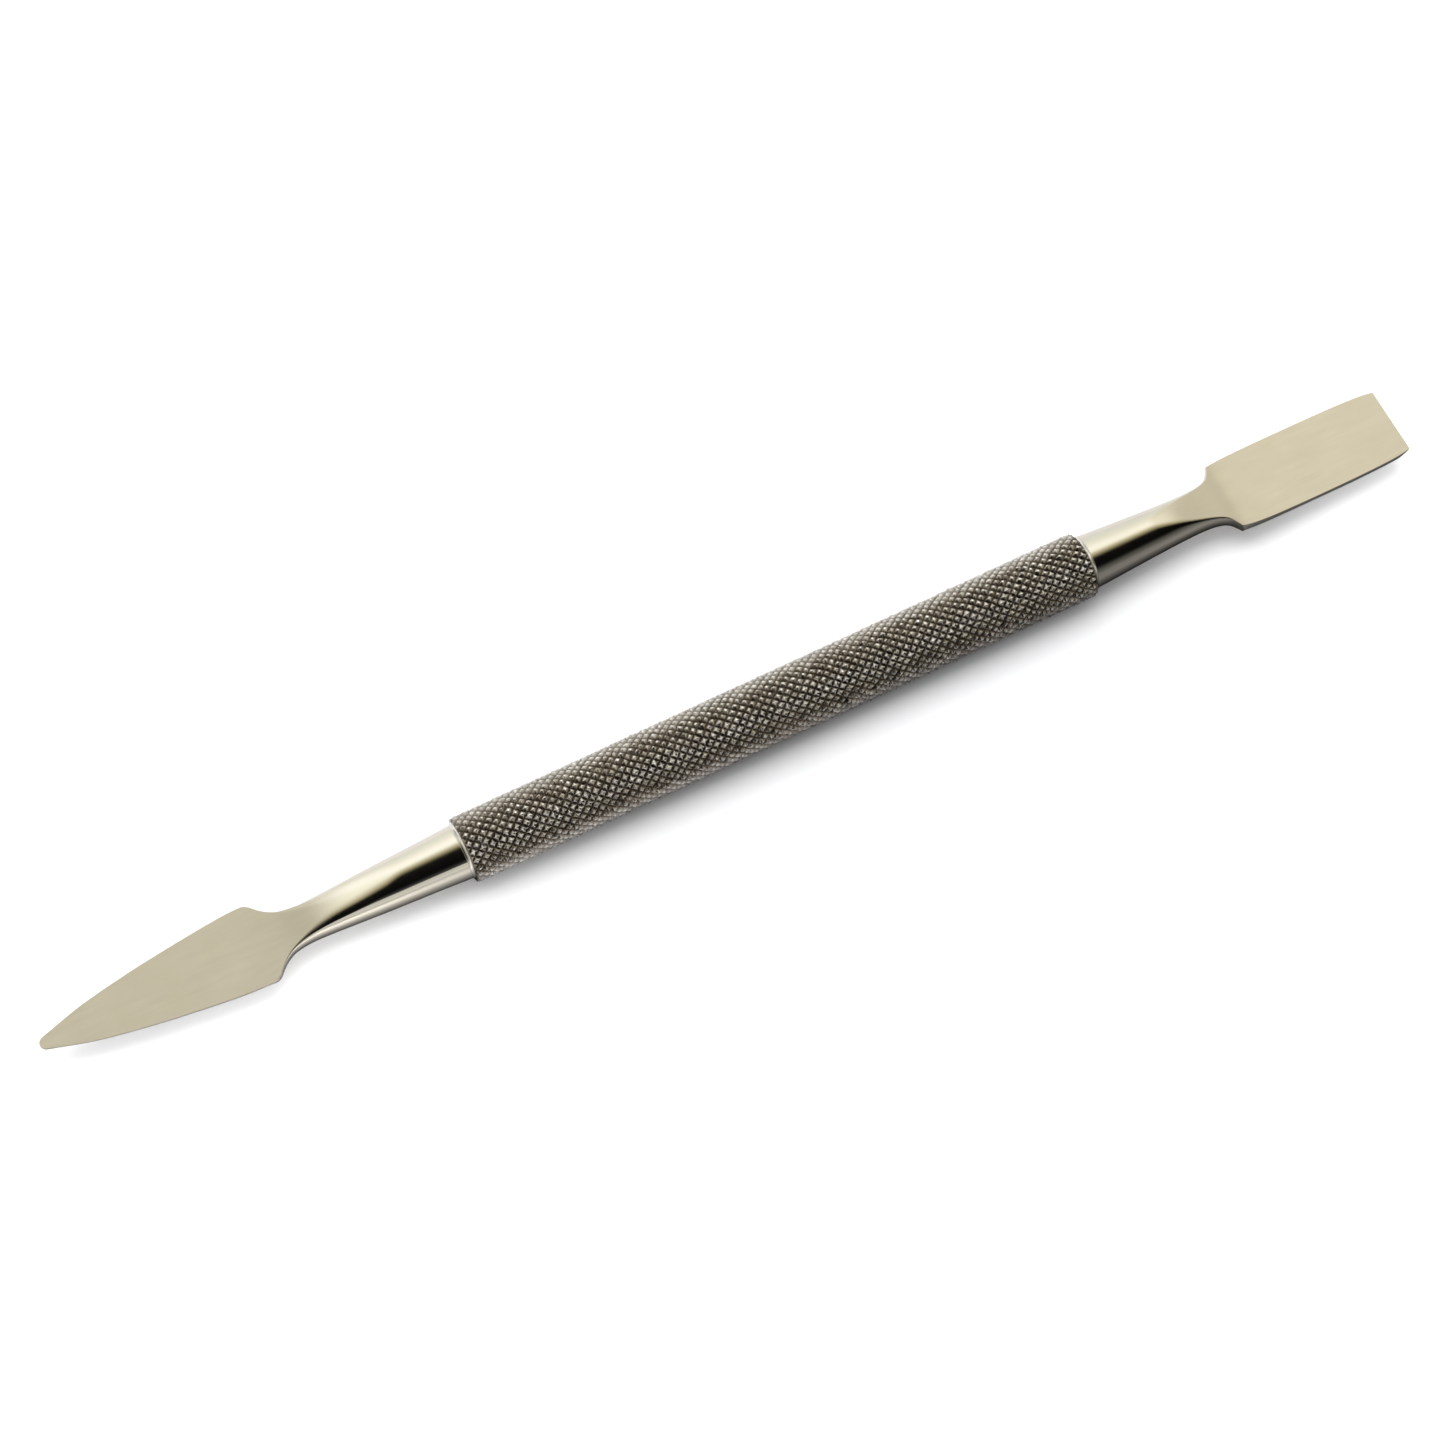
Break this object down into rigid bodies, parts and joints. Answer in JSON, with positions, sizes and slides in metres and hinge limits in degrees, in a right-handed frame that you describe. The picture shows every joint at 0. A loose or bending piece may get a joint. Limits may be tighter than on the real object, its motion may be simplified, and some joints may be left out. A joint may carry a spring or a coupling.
{
  "type": "cuticle pusher",
  "caption": "Double-ended steel cuticle pusher: knurled round handle, polished tapered necks, a broad square-tipped pushing blade at one end and a pointed leaf-shaped blade at the other.",
  "frame": {"origin": "centre of the overall box, on the tool's axis and 3.7 mm from the handle's middle towards the pointed end", "axes": "+X along the tool towards the square blade, +Z normal to the flat faces of both blades, +Y across the blades"},
  "size_m": [0.13, 0.0074, 0.006],
  "materials": {
    "knurled_steel": "diamond knurled, bright crests and dark grooves",
    "square_end_steel": "mirror-polished neck, satin ground blade",
    "pointed_end_steel": "mirror-polished neck, satin ground blade",
    "braze": "bright, slightly uneven braze"
  },
  "bodies": {
    "root": {"handle_tube": "knurled_steel", "square_pusher_end": "square_end_steel", "pointed_cleaner_end": "pointed_end_steel", "square_end_braze_ring": "braze", "pointed_end_braze_ring": "braze"}
  },
  "joints": []
}
